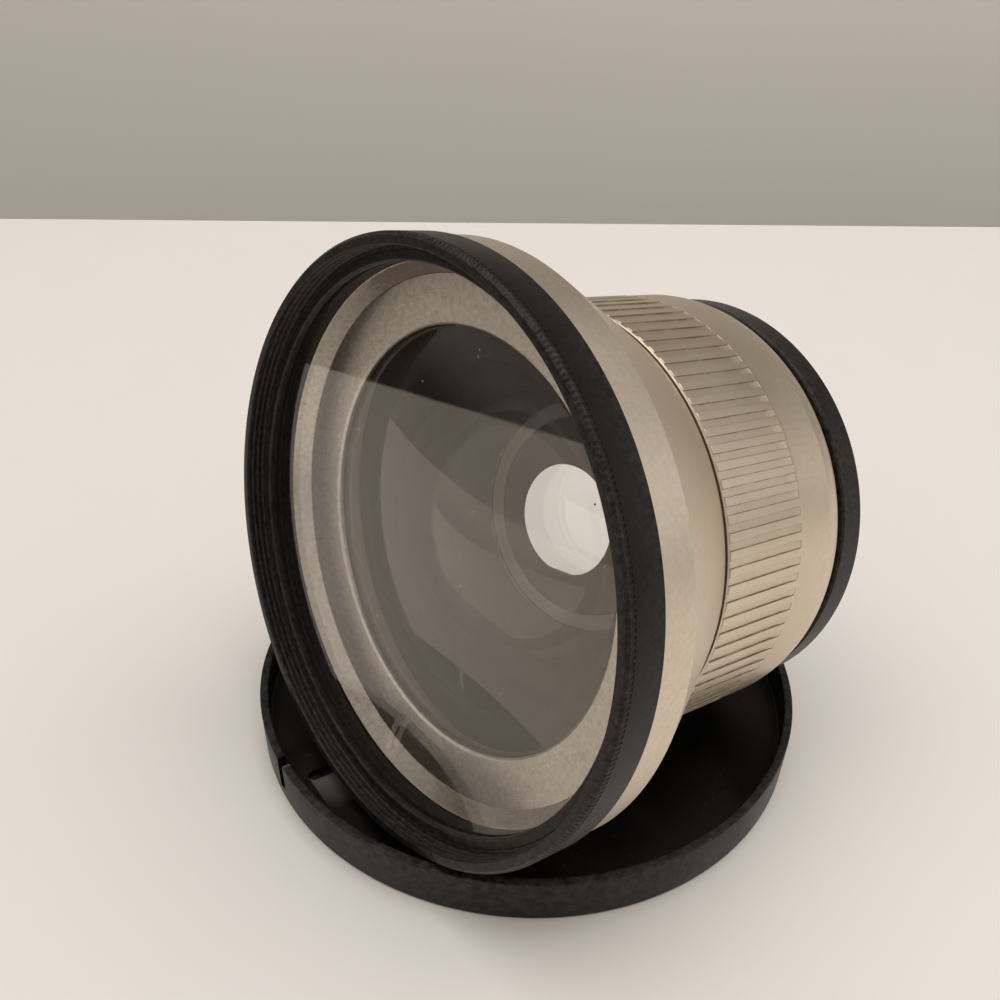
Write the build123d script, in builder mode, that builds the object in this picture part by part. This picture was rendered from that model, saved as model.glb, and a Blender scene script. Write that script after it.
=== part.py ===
from build123d import *
import math
import os

os.makedirs("parts", exist_ok=True)

# A two-section wide-angle converter lens lying on its side in its slip-on cap.
# Sizes are in mm. Positions along the lens are measured from its front plane towards
# its rear, and radii from the lens axis.

# Slip-on cap, open side up
cap_height = 6.8
cap_wall = 1.15
cap_slip_gap = 0.55
cap_taper = 0.2
cap_floor = 1.8
cap_edge_round = 0.5
cap_slot_angle = -97.0
cap_slot_width = 1.7
cap_slot_depth = 1.0
cap_slot_length = 14.0
cap_slot_end_gap = 2.65

# How the lens lies in the cap
lens_side_offset = 4.5
rest_gap = 0.06
cap_wall_gap = 0.15

# Fits and small edges
thread_gap = 0.05
shoulder_gap = 0.05
seat_gap = 0.04
thread_pitch = 0.75
thread_groove = 0.36
thread_crest_share = 0.3
thread_lead = 0.2
edge_break = 0.1

# UV filter
filter_radius = 37.5
filter_wall = 1.5
filter_front_chamfer = 0.42
filter_body_length = 5.25
filter_thread_length = 2.1
filter_thread_depth = 2.5
filter_rear_relief = 0.25
filter_glass_step = 1.0
filter_glass_thickness = 2.0
filter_seat_width = 0.65
filter_retainer_lip = 0.5
filter_retainer_width = 1.3
filter_retainer_thickness = 0.9
filter_retainer_bevel = 0.2
knurl_start = 0.4
knurl_width = 0.65
knurl_count = 180
knurl_depth = 0.1

# Front bell
bell_step = 0.4
bell_edge_break = 0.15
bell_rim_length = 4.83
bell_flare = 8.25
bell_rear_step = 0.11
bell_rear_depth = 3.95
bell_lip_drop = 0.5
bell_lip_length = 0.85
bell_front_thread_depth = 2.3
funnel_lip = 1.6
funnel_taper = 1.6
funnel_end_gap = 0.46
bell_web_thickness = 1.9

# Front retaining ring
front_ring_length = 2.85
front_ring_seat = 2.6
front_ring_cover = 3.38
front_ring_cone_drop = 0.8
front_ring_bevel = 0.28
front_ring_overlap = 0.133
front_ring_foot_step = 0.5
front_ring_foot_land = 0.4
front_ring_foot_rise = 0.1
front_ring_glass_gap = 0.25

# Front element
front_element_centre_thickness = 3.0
front_element_front_curve = 110.0
front_element_rear_curve = 35.0
front_element_bevel = 0.3
gasket_thickness = 0.4
gasket_width = 3.3

# Thread ring that joins the two sections
section_groove = 0.35
join_ring_wall = 2.1
join_thread_reach = 2.8
join_thread_relief = 0.6

# Inner baffles
baffle_step = 3.0
baffle_front_taper = 0.6
baffle_rear_taper = 0.85
baffle_wall = 0.9
baffle_flange_length = 1.2
baffle_split_gap = 0.3

# Rear barrel with its ribbed grip
grip_length = 13.84
band_length = 9.96
band_taper = 1.65
band_slope = 4.0
band_edge_drop = 0.95
band_edge_length = 1.4
rib_count = 90
rib_depth = 0.2
rib_groove_share = 0.5
barrel_wall = 1.75
barrel_front_chamfer = 0.3
barrel_bore_step = 2.9
barrel_flange_width = 3.25
barrel_flange_thickness = 0.55
barrel_flange_setback = 5.15
series_bore_depth = 2.85
series_wall = 0.38
series_thread_length = 2.5

# Rear cell and what it holds
rear_cell_wall = 2.8
rear_cell_shoulder_width = 1.6
rear_cell_shoulder_length = 2.0
rear_cell_lip = 0.7
rear_cell_lip_width = 1.6
rear_ring_lip = 0.5
rear_ring_width = 2.7
rear_ring_thickness = 0.8
rear_ring_bevel = 0.4
stop_opening_radius = 9.7
stop_cone_height = 3.35
stop_flange_thickness = 0.4
stop_wall = 0.6
rear_glass_setback = 1.455
rear_front_curve = 80.0
rear_front_edge = 0.8
rear_spacer_thickness = 0.6
rear_back_centre = 1.0
rear_back_curve = 160.0
lock_ring_length = 0.7

# Adapter ring
adapter_gap = 0.5
adapter_length = 4.01
adapter_step = 0.67
adapter_edge_chamfer = 0.2
adapter_wall = 2.27
adapter_rear_wall = 1.1
mount_thread_length = 2.4


def sag(curve, radius):
    """Depth of a spherical surface at a radius."""
    return curve - math.sqrt(curve ** 2 - radius ** 2)


# Radii, from the filter inwards and towards the rear
filter_thread_radius = filter_radius - filter_wall
filter_glass_radius = filter_thread_radius - filter_glass_step
filter_bore_radius = filter_glass_radius - filter_seat_width
bell_radius = filter_radius - bell_step
funnel_front_radius = filter_thread_radius - funnel_lip
funnel_rear_radius = funnel_front_radius - funnel_taper
front_element_radius = funnel_rear_radius - front_ring_seat
front_ring_bore_radius = front_element_radius - front_ring_cover
grip_radius = filter_radius - bell_flare
bell_rear_radius = grip_radius + bell_rear_step
join_thread_radius = grip_radius - barrel_wall
bell_web_bore_radius = join_thread_radius - join_ring_wall
baffle_front_radius = bell_web_bore_radius - baffle_step
baffle_middle_radius = baffle_front_radius - baffle_front_taper
baffle_rear_radius = baffle_middle_radius - baffle_rear_taper
front_element_rear_clear_radius = baffle_middle_radius
barrel_rear_radius = grip_radius - band_taper
barrel_bore_radius = join_thread_radius - barrel_bore_step
barrel_flange_bore_radius = barrel_bore_radius - barrel_flange_width
series_thread_radius = barrel_rear_radius - series_wall
rear_cell_nose_radius = barrel_bore_radius - rear_cell_shoulder_width
rear_element_radius = rear_cell_nose_radius - rear_cell_wall
rear_cell_lip_bore_radius = rear_element_radius - rear_cell_lip_width
rear_ring_radius = rear_element_radius + rear_ring_lip
rear_ring_bore_radius = rear_ring_radius - rear_ring_width
adapter_radius = barrel_rear_radius + adapter_step
mount_thread_radius = adapter_radius - adapter_wall
adapter_bore_radius = mount_thread_radius - adapter_rear_wall

# Positions, from the front towards the rear
bell_front = filter_body_length + shoulder_gap
bell_shoulder = bell_front + bell_front_thread_depth
bell_crease_position = bell_front + bell_rim_length
funnel_rear_position = bell_crease_position - funnel_end_gap
ring_front = funnel_rear_position + seat_gap
ring_rear = ring_front + front_ring_length
front_element_edge = ring_rear - front_ring_overlap
front_element_vertex = front_element_edge - sag(front_element_front_curve, front_element_radius)
rear_vertex = front_element_vertex + front_element_centre_thickness
front_element_rim = rear_vertex + sag(front_element_rear_curve, front_element_rear_clear_radius)
gasket_front = front_element_rim + seat_gap
gasket_rear = gasket_front + gasket_thickness
bell_web_front = gasket_rear + seat_gap
bell_web_rear = bell_web_front + bell_web_thickness
bell_rear_position = bell_web_rear + bell_rear_depth
join_thread_start = bell_web_rear + seat_gap
barrel_front_position = bell_rear_position + section_groove
join_thread_end = barrel_front_position + join_thread_reach
grip_end_position = barrel_front_position + grip_length
barrel_rear_position = grip_end_position + band_length
barrel_shoulder_position = barrel_rear_position - series_bore_depth
barrel_flange_position = barrel_shoulder_position - barrel_flange_setback
adapter_front_position = barrel_rear_position + adapter_gap
adapter_rear_position = adapter_front_position + adapter_length

# The cap slips over the filter ring
cap_bore_radius = filter_radius + cap_slip_gap
cap_rim_radius = cap_bore_radius + cap_wall
cap_foot_radius = cap_rim_radius - cap_taper
cap_slot_end_radius = cap_bore_radius - cap_slot_end_gap

# Where the lens lies: the bell's crease and the adapter's rear edge rest on the cap's floor
rear_contact_position = adapter_rear_position - adapter_edge_chamfer
tilt = math.atan2(bell_radius - adapter_radius, rear_contact_position - bell_crease_position)
front_height = (cap_floor + rest_gap + bell_radius * math.cos(tilt)
                + bell_crease_position * math.sin(tilt))

# The filter's front corner stops just short of the cap's wall at the height of the rim
corner_position = filter_front_chamfer
corner_height = front_height - corner_position * math.sin(tilt)
corner_drop = (corner_height - cap_height) / math.cos(tilt)
corner_side = lens_side_offset + math.sqrt(filter_radius ** 2 - corner_drop ** 2)
corner_reach = math.sqrt((cap_bore_radius - cap_wall_gap) ** 2 - corner_side ** 2)
front_depth = -corner_reach + corner_drop * math.sin(tilt) - corner_position * math.cos(tilt)

axis_direction = Vector(0, math.cos(tilt), -math.sin(tilt))
front_centre = Vector(lens_side_offset, front_depth, front_height)
lens_axis = Axis(front_centre, axis_direction)
section = Plane(front_centre, x_dir=(1, 0, 0), z_dir=(0, math.sin(tilt), math.cos(tilt)))


def lens_plane(position):
    """Plane across the lens at a distance behind its front plane."""
    return Plane(front_centre + axis_direction * position, x_dir=(1, 0, 0), z_dir=axis_direction)


def ring_section(points):
    """Half section of a turned piece, from (radius, position) points."""
    with BuildSketch(section) as profile:
        with BuildLine():
            Polyline(*points, close=True)
        make_face()
    return profile.sketch


def thread_points(radius, start, end, outward):
    """Points along a thread's turns, cut outward into a bore or inward into a spigot."""
    turns = int(abs(end - start) / thread_pitch)
    step = math.copysign(thread_pitch, end - start)
    depth = thread_groove if outward else -thread_groove
    half_crest = thread_crest_share / 2
    points = []
    for turn in range(turns):
        crest = start + turn * step
        points.append((radius, crest + half_crest * step))
        points.append((radius + depth, crest + step / 2))
        points.append((radius, crest + (1 - half_crest) * step))
    return points


# Cap
with BuildPart() as cap_body:
    with BuildSketch(Plane.XZ):
        with BuildLine():
            Polyline((0, 0), (cap_foot_radius, 0), (cap_rim_radius, cap_height),
                     (cap_bore_radius, cap_height), (cap_bore_radius, cap_floor),
                     (0, cap_floor), close=True)
        make_face()
    revolve(axis=Axis.Z)
    foot_edge = cap_body.edges().filter_by(GeomType.CIRCLE).group_by(Axis.Z)[0]
    fillet(foot_edge, cap_edge_round)
    rim_edges = cap_body.edges().filter_by(GeomType.CIRCLE).group_by(Axis.Z)[-1]
    chamfer(rim_edges, cap_wall / 5)
    slot_direction = Plane.XY.rotated((0, 0, cap_slot_angle))
    slot_middle = cap_slot_end_radius - cap_slot_length / 2
    with BuildSketch(slot_direction.offset(cap_floor - cap_slot_depth)):
        with Locations((slot_middle, 0)):
            SlotOverall(cap_slot_length, cap_slot_width)
    extrude(amount=cap_slot_depth, mode=Mode.SUBTRACT)
    with BuildSketch(slot_direction.offset(cap_floor)):
        with Locations((cap_rim_radius, 0)):
            Rectangle(4 * cap_wall, cap_slot_width)
    extrude(amount=cap_height, mode=Mode.SUBTRACT)

# UV filter
filter_retainer_front = filter_thread_depth
filter_glass_front = filter_retainer_front + filter_retainer_thickness + seat_gap
filter_glass_rear = filter_glass_front + filter_glass_thickness
filter_seat = filter_glass_rear + seat_gap
filter_retainer_radius = filter_glass_radius + filter_retainer_lip
filter_end = filter_body_length + filter_thread_length
filter_male_radius = filter_thread_radius - thread_gap
knurl_end = knurl_start + knurl_width

with BuildPart() as uv_filter_ring:
    outer = [
        (filter_thread_radius + edge_break, 0),
        (filter_radius - filter_front_chamfer, 0),
        (filter_radius - knurl_depth, knurl_start),
        (filter_radius - knurl_depth, knurl_end),
        (filter_radius, knurl_end),
        (filter_radius, filter_body_length - edge_break),
        (filter_radius - edge_break, filter_body_length),
        (filter_male_radius, filter_body_length),
    ]
    inner = [
        (filter_male_radius, filter_end - filter_rear_relief),
        (filter_male_radius - filter_rear_relief, filter_end),
        (filter_bore_radius, filter_end),
        (filter_bore_radius, filter_seat),
        (filter_glass_radius + seat_gap, filter_seat),
        (filter_glass_radius + seat_gap, filter_glass_front),
        (filter_retainer_radius + seat_gap, filter_glass_front),
        (filter_retainer_radius + seat_gap, filter_retainer_front),
        (filter_thread_radius, filter_retainer_front),
    ]
    front_turns = thread_points(filter_thread_radius, filter_retainer_front, 0, True)
    revolve(ring_section(outer + inner + front_turns), axis=lens_axis)
    with BuildSketch(lens_plane(knurl_start)):
        Circle(filter_radius)
        Circle(filter_radius - 2 * knurl_depth, mode=Mode.SUBTRACT)
        with PolarLocations(filter_radius, knurl_count):
            Rectangle(2 * knurl_depth, math.pi * filter_radius / knurl_count,
                      mode=Mode.SUBTRACT)
    extrude(amount=knurl_width)

retainer_bore_radius = filter_retainer_radius - filter_retainer_width
with BuildPart() as uv_filter_retainer:
    revolve(ring_section([
        (filter_retainer_radius, filter_retainer_front),
        (filter_retainer_radius, filter_glass_front - seat_gap),
        (retainer_bore_radius, filter_glass_front - seat_gap),
        (retainer_bore_radius, filter_retainer_front + filter_retainer_bevel),
        (retainer_bore_radius + filter_retainer_bevel, filter_retainer_front),
    ]), axis=lens_axis)

with BuildPart() as uv_filter_glass:
    with BuildSketch(lens_plane(filter_glass_front)):
        Circle(filter_glass_radius)
    extrude(amount=filter_glass_thickness)
    glass_rims = uv_filter_glass.edges().filter_by(GeomType.CIRCLE)
    chamfer(glass_rims, filter_glass_thickness / 10)

# Front element
front_mid_radius = front_element_radius / 2
rear_mid_radius = front_element_rear_clear_radius / 2

with BuildPart() as front_element:
    with BuildSketch(section):
        with BuildLine():
            front_arc_middle = (front_mid_radius, front_element_vertex
                                + sag(front_element_front_curve, front_mid_radius))
            rear_arc_middle = (rear_mid_radius, rear_vertex
                               + sag(front_element_rear_curve, rear_mid_radius))
            ThreePointArc((0, front_element_vertex), front_arc_middle,
                          (front_element_radius, front_element_edge))
            Polyline((front_element_radius, front_element_edge),
                     (front_element_radius, front_element_rim - front_element_bevel),
                     (front_element_radius - front_element_bevel, front_element_rim),
                     (front_element_rear_clear_radius, front_element_rim))
            ThreePointArc((front_element_rear_clear_radius, front_element_rim),
                          rear_arc_middle, (0, rear_vertex))
            Line((0, rear_vertex), (0, front_element_vertex))
        make_face()
    revolve(axis=lens_axis)

# Front bell
ring_pocket_radius = funnel_rear_radius + seat_gap
ring_pocket_end = ring_rear + seat_gap
join_bore_radius = join_thread_radius + thread_gap

with BuildPart() as front_bell:
    outer = [
        (filter_thread_radius + bell_edge_break, bell_front),
        (bell_radius - bell_edge_break, bell_front),
        (bell_radius, bell_front + bell_edge_break),
        (bell_radius, bell_crease_position),
        (bell_rear_radius, bell_rear_position - bell_lip_length),
        (bell_rear_radius - bell_lip_drop, bell_rear_position),
        (join_bore_radius, bell_rear_position),
    ]
    inner = [
        (join_bore_radius, bell_web_rear),
        (bell_web_bore_radius, bell_web_rear),
        (bell_web_bore_radius, bell_web_front),
        (front_element_radius + seat_gap, bell_web_front),
        (front_element_radius + seat_gap, ring_pocket_end),
        (ring_pocket_radius, ring_pocket_end),
        (ring_pocket_radius, funnel_rear_position),
        (funnel_front_radius, bell_shoulder),
        (filter_thread_radius, bell_shoulder),
        (filter_thread_radius, bell_front + bell_edge_break),
    ]
    revolve(ring_section(outer + inner), axis=lens_axis)

# Front retaining ring, a flat cone in front of the glass
ring_inner_front = ring_front + front_ring_cone_drop
ring_nose_radius = front_ring_bore_radius + front_ring_bevel
ring_foot_radius = front_element_radius + front_ring_foot_step
ring_foot_front = front_element_edge - front_ring_glass_gap
ring_bore_rear = (front_element_vertex + sag(front_element_front_curve, front_ring_bore_radius)
                  - front_ring_glass_gap)

with BuildPart() as front_retainer:
    revolve(ring_section([
        (funnel_rear_radius, ring_front),
        (funnel_rear_radius, ring_rear),
        (ring_foot_radius, ring_rear),
        (ring_foot_radius, ring_foot_front),
        (front_element_radius - front_ring_foot_land, ring_foot_front - front_ring_foot_rise),
        (front_ring_bore_radius, ring_bore_rear),
        (front_ring_bore_radius, ring_inner_front + front_ring_bevel),
        (ring_nose_radius, ring_inner_front),
    ]), axis=lens_axis)

gasket_radius = front_element_radius - front_element_bevel
with BuildPart() as element_gasket:
    with BuildSketch(lens_plane(gasket_front)):
        Circle(gasket_radius)
        Circle(gasket_radius - gasket_width, mode=Mode.SUBTRACT)
    extrude(amount=gasket_thickness)

# Thread ring between bell and barrel
with BuildPart() as join_ring:
    revolve(ring_section([
        (bell_web_bore_radius, join_thread_start),
        (join_thread_radius - thread_lead, join_thread_start),
        (join_thread_radius, join_thread_start + thread_lead),
        (join_thread_radius, join_thread_end - thread_lead),
        (join_thread_radius - thread_lead, join_thread_end),
        (bell_web_bore_radius, join_thread_end),
    ]), axis=lens_axis)

# Front baffle, a thin cone with a flange at each end
baffle_front_position = front_element_rim + 2 * seat_gap
front_baffle_end = join_thread_end - seat_gap
baffle_outer_radius = bell_web_bore_radius - seat_gap
with BuildPart() as front_baffle:
    revolve(ring_section([
        (baffle_front_radius, baffle_front_position),
        (baffle_outer_radius, baffle_front_position),
        (baffle_outer_radius, baffle_front_position + baffle_flange_length),
        (baffle_front_radius + baffle_wall, baffle_front_position + baffle_flange_length),
        (baffle_middle_radius + baffle_wall, front_baffle_end - baffle_flange_length),
        (baffle_outer_radius, front_baffle_end - baffle_flange_length),
        (baffle_outer_radius, front_baffle_end),
        (baffle_middle_radius, front_baffle_end),
    ]), axis=lens_axis)

# Rear barrel
barrel_thread_end = join_thread_end + join_thread_relief
barrel_flange_rear = barrel_flange_position + barrel_flange_thickness
grip_root_radius = grip_radius - rib_depth
band_radius = grip_radius - rib_depth / 3
band_edge_radius = barrel_rear_radius + band_edge_drop
band_edge_position = barrel_rear_position - band_edge_length
band_round_start = band_edge_position - band_slope * (band_radius - band_edge_radius)
rib_groove_width = rib_groove_share * 2 * math.pi * grip_radius / rib_count

with BuildPart() as rear_barrel:
    outer = [
        (join_bore_radius, barrel_front_position),
        (grip_root_radius - barrel_front_chamfer, barrel_front_position),
        (grip_root_radius, barrel_front_position + barrel_front_chamfer),
        (grip_root_radius, grip_end_position),
        (band_radius, grip_end_position),
        (band_radius, band_round_start),
        (band_edge_radius, band_edge_position),
        (barrel_rear_radius, barrel_rear_position),
        (series_thread_radius, barrel_rear_position),
    ]
    inner = [
        (series_thread_radius, barrel_shoulder_position),
        (barrel_bore_radius, barrel_shoulder_position),
        (barrel_bore_radius, barrel_flange_rear),
        (barrel_flange_bore_radius, barrel_flange_rear),
        (barrel_flange_bore_radius, barrel_flange_position),
        (barrel_bore_radius, barrel_flange_position),
        (barrel_bore_radius, barrel_thread_end),
        (join_bore_radius, barrel_thread_end),
    ]
    revolve(ring_section(outer + inner), axis=lens_axis)
    with BuildSketch(lens_plane(barrel_front_position + barrel_front_chamfer)):
        Circle(grip_radius)
        Circle(grip_root_radius - rib_depth, mode=Mode.SUBTRACT)
        with PolarLocations(grip_radius, rib_count):
            Rectangle(2 * rib_depth, rib_groove_width, mode=Mode.SUBTRACT)
    extrude(amount=grip_end_position - barrel_front_position - barrel_front_chamfer)

# Rear baffle
rear_baffle_front = join_thread_end + baffle_split_gap
rear_baffle_end = barrel_flange_position - seat_gap
rear_baffle_outer_radius = barrel_bore_radius - seat_gap
with BuildPart() as rear_baffle:
    revolve(ring_section([
        (baffle_middle_radius, rear_baffle_front),
        (baffle_middle_radius + baffle_wall, rear_baffle_front),
        (baffle_rear_radius + baffle_wall, rear_baffle_end - baffle_flange_length),
        (rear_baffle_outer_radius, rear_baffle_end - baffle_flange_length),
        (rear_baffle_outer_radius, rear_baffle_end),
        (baffle_rear_radius, rear_baffle_end),
    ]), axis=lens_axis)

# Positions of the pieces stacked in the rear cell, from the barrel's inner flange back
cell_front = barrel_flange_rear + seat_gap
cell_shoulder = cell_front + rear_cell_shoulder_length
cell_ring_pocket = cell_front + rear_ring_thickness + seat_gap
stop_flange_rear = cell_ring_pocket + stop_flange_thickness
rear_front_front = stop_flange_rear + rear_glass_setback
rear_front_rear = rear_front_front + rear_front_edge
spacer_front = rear_front_rear + seat_gap
rear_back_front = spacer_front + rear_spacer_thickness + seat_gap
rear_back_vertex = rear_back_front + sag(rear_back_curve, rear_cell_lip_bore_radius)
rear_back_rear = rear_back_vertex + rear_back_centre
cell_seat = rear_back_rear + seat_gap
cell_end = cell_seat + rear_cell_lip

# Rear cell, seated against the barrel's inner flange and held by a lock ring
with BuildPart() as rear_cell:
    revolve(ring_section([
        (rear_ring_radius + seat_gap, cell_front),
        (barrel_bore_radius - seat_gap, cell_front),
        (barrel_bore_radius - seat_gap, cell_shoulder),
        (rear_cell_nose_radius, cell_shoulder),
        (rear_cell_nose_radius, cell_end),
        (rear_cell_lip_bore_radius, cell_end),
        (rear_cell_lip_bore_radius, cell_seat),
        (rear_element_radius + seat_gap, cell_seat),
        (rear_element_radius + seat_gap, cell_ring_pocket),
        (rear_ring_radius + seat_gap, cell_ring_pocket),
    ]), axis=lens_axis)

with BuildPart() as cell_lock_ring:
    revolve(ring_section([
        (rear_cell_nose_radius + seat_gap, cell_shoulder + seat_gap),
        (barrel_bore_radius - seat_gap, cell_shoulder + seat_gap),
        (barrel_bore_radius - seat_gap, cell_shoulder + seat_gap + lock_ring_length),
        (rear_cell_nose_radius + seat_gap, cell_shoulder + seat_gap + lock_ring_length),
    ]), axis=lens_axis)

with BuildPart() as rear_retainer:
    revolve(ring_section([
        (rear_ring_bore_radius + rear_ring_bevel, cell_front),
        (rear_ring_radius, cell_front),
        (rear_ring_radius, cell_front + rear_ring_thickness),
        (rear_ring_bore_radius, cell_front + rear_ring_thickness),
        (rear_ring_bore_radius, cell_front + rear_ring_bevel),
    ]), axis=lens_axis)

# Stop cone, clamped by the rear retaining ring in front of the rear glass
stop_front = cell_ring_pocket - stop_cone_height
stop_cone_radius = rear_ring_bore_radius - 2 * seat_gap
with BuildPart() as stop_cone:
    revolve(ring_section([
        (stop_cone_radius, cell_ring_pocket),
        (stop_opening_radius, stop_front),
        (stop_opening_radius, stop_front + stop_wall),
        (stop_cone_radius - stop_wall, stop_flange_rear),
        (rear_element_radius, stop_flange_rear),
        (rear_element_radius, cell_ring_pocket),
    ]), axis=lens_axis)

# Rear glass: two elements with a spacer between them
rear_half_radius = rear_element_radius / 2

with BuildPart() as rear_element_front:
    front_sag = sag(rear_front_curve, rear_element_radius)
    half_sag = sag(rear_front_curve, rear_half_radius)
    with BuildSketch(section):
        with BuildLine():
            ThreePointArc((0, rear_front_front - front_sag),
                          (rear_half_radius, rear_front_front - front_sag + half_sag),
                          (rear_element_radius, rear_front_front))
            Polyline((rear_element_radius, rear_front_front),
                     (rear_element_radius, rear_front_rear),
                     (0, rear_front_rear),
                     (0, rear_front_front - front_sag))
        make_face()
    revolve(axis=lens_axis)

with BuildPart() as rear_spacer:
    with BuildSketch(lens_plane(spacer_front)):
        Circle(rear_element_radius)
        Circle(rear_cell_lip_bore_radius, mode=Mode.SUBTRACT)
    extrude(amount=rear_spacer_thickness)

with BuildPart() as rear_element_back:
    back_half_sag = sag(rear_back_curve, rear_half_radius)
    with BuildSketch(section):
        with BuildLine():
            Polyline((rear_cell_lip_bore_radius, rear_back_front),
                     (rear_element_radius, rear_back_front),
                     (rear_element_radius, rear_back_rear),
                     (0, rear_back_rear),
                     (0, rear_back_vertex))
            ThreePointArc((0, rear_back_vertex),
                          (rear_half_radius, rear_back_vertex - back_half_sag),
                          (rear_cell_lip_bore_radius, rear_back_front))
        make_face()
    revolve(axis=lens_axis)

# Adapter ring with a male thread at each end
series_male_radius = series_thread_radius - thread_gap
series_thread_start = barrel_rear_position - series_thread_length
mount_thread_end = adapter_rear_position + mount_thread_length
with BuildPart() as adapter_ring:
    neck = [
        (adapter_bore_radius, series_thread_start),
        (series_male_radius, series_thread_start),
        (series_male_radius, adapter_front_position),
        (adapter_radius - adapter_edge_chamfer, adapter_front_position),
        (adapter_radius, adapter_front_position + adapter_edge_chamfer),
        (adapter_radius, rear_contact_position),
        (adapter_radius - adapter_edge_chamfer, adapter_rear_position),
        (mount_thread_radius, adapter_rear_position),
    ]
    turns = thread_points(mount_thread_radius, adapter_rear_position, mount_thread_end, False)
    tail = [
        (mount_thread_radius - thread_lead, mount_thread_end),
        (adapter_bore_radius, mount_thread_end),
    ]
    revolve(ring_section(neck + turns + tail), axis=lens_axis)

nodes = {
    "cap_body": cap_body,
    "uv_filter_ring": uv_filter_ring,
    "uv_filter_retainer": uv_filter_retainer,
    "uv_filter_glass": uv_filter_glass,
    "front_bell": front_bell,
    "front_retainer": front_retainer,
    "front_element": front_element,
    "element_gasket": element_gasket,
    "join_ring": join_ring,
    "front_baffle": front_baffle,
    "rear_barrel": rear_barrel,
    "rear_baffle": rear_baffle,
    "rear_cell": rear_cell,
    "cell_lock_ring": cell_lock_ring,
    "rear_retainer": rear_retainer,
    "stop_cone": stop_cone,
    "rear_element_front": rear_element_front,
    "rear_spacer": rear_spacer,
    "rear_element_back": rear_element_back,
    "adapter_ring": adapter_ring,
}
for name, node in nodes.items():
    node.part.label = name
    export_step(node.part, f"parts/{name}.step")
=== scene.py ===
import math

import bmesh
import bpy
import numpy as np
from mathutils import Matrix, Vector


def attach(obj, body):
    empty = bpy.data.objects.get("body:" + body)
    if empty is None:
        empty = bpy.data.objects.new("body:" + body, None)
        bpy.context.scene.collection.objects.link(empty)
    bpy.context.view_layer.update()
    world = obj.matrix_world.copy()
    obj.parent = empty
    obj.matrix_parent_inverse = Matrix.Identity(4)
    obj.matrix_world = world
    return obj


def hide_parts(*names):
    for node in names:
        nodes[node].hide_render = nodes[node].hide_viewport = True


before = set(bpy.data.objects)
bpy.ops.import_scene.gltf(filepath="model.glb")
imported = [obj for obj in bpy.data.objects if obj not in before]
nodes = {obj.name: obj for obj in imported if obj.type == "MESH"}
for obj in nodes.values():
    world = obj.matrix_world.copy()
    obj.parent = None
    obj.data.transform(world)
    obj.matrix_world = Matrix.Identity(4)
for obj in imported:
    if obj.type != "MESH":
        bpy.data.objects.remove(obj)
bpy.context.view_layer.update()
scene = bpy.context.scene
MM = 0.001

# Sizes are in mm. Positions along the lens are measured from its front plane towards its rear,
# and radii from its axis.
SEAT_GAP = 0.04
THREAD_GAP = 0.05
THREAD_PITCH = 0.75
THREAD_DEPTH = 0.36
THREAD_LEAD = 0.2

# Cap, and how the lens lies in it
CAP_FLOOR = 1.8
CAP_HEIGHT = 6.8
CAP_BORE = 38.05
REST_GAP = 0.06
WALL_GAP = 0.15
SIDE_OFFSET = 4.5

# Filter
FILTER_RADIUS = 37.5
FILTER_CHAMFER = 0.42
FILTER_THREAD = 36.0
FILTER_THREAD_END = 2.5
RETAINER_RADIUS = 35.5
PLATE_RADIUS = 35.0
PLATE_FRONT = 3.44
PLATE_REAR = 5.44

# Bell and what it holds
BELL_RADIUS = 37.1
CREASE = 10.13
RING_RADIUS = 32.8
RING_FRONT = 9.71
RING_REAR = 12.56
FRONT_GLASS_RADIUS = 30.2
WEB_FRONT = 19.298
WEB_REAR = 21.198
WEB_BORE = 25.4
JOIN_THREAD = 27.5
JOIN_END = 28.3
BAFFLE_MIDDLE_RADIUS = 21.8
BAFFLE_WALL = 0.9
BAFFLE_FLANGE = 1.2

# Barrel and what it holds
BARREL_REAR = 49.298
BARREL_BORE = 24.6
SERIES_THREAD = 27.22
CELL_FRONT = 41.888
CELL_POCKET = 42.728
REAR_GLASS_RADIUS = 20.2
PALE_RING_BORE = 18.0

# Adapter ring
ADAPTER_RADIUS = 28.27
ADAPTER_REAR = 53.8083
ADAPTER_CHAMFER = 0.2

# The lens lies with its bell's crease and its adapter's edge on the cap's floor, and with its
# filter's front corner just short of the cap's wall.
TILT = math.atan2(BELL_RADIUS - ADAPTER_RADIUS, ADAPTER_REAR - ADAPTER_CHAMFER - CREASE)
HEIGHT = CAP_FLOOR + REST_GAP + BELL_RADIUS * math.cos(TILT) + CREASE * math.sin(TILT)
CORNER_DROP = (HEIGHT - FILTER_CHAMFER * math.sin(TILT) - CAP_HEIGHT) / math.cos(TILT)
CORNER_SIDE = SIDE_OFFSET + math.sqrt(FILTER_RADIUS ** 2 - CORNER_DROP ** 2)
CORNER_REACH = math.sqrt((CAP_BORE - WALL_GAP) ** 2 - CORNER_SIDE ** 2)
DEPTH = -CORNER_REACH + CORNER_DROP * math.sin(TILT) - FILTER_CHAMFER * math.cos(TILT)
FRONT = np.array((SIDE_OFFSET, DEPTH, HEIGHT))
BACK = np.array((0.0, math.cos(TILT), -math.sin(TILT)))
RIGHT = np.array((1.0, 0.0, 0.0))
UP = np.array((0.0, math.sin(TILT), math.cos(TILT)))

# How finely round pieces are divided
RING_SEGMENTS = 288
GLASS_SEGMENTS = 448
CAP_SEGMENTS = 320


# Meshes

def bend(first, corner, last, share):
    """A point on the curve that rounds a corner."""
    return (1 - share) ** 2 * first + 2 * share * (1 - share) * corner + share ** 2 * last


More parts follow.
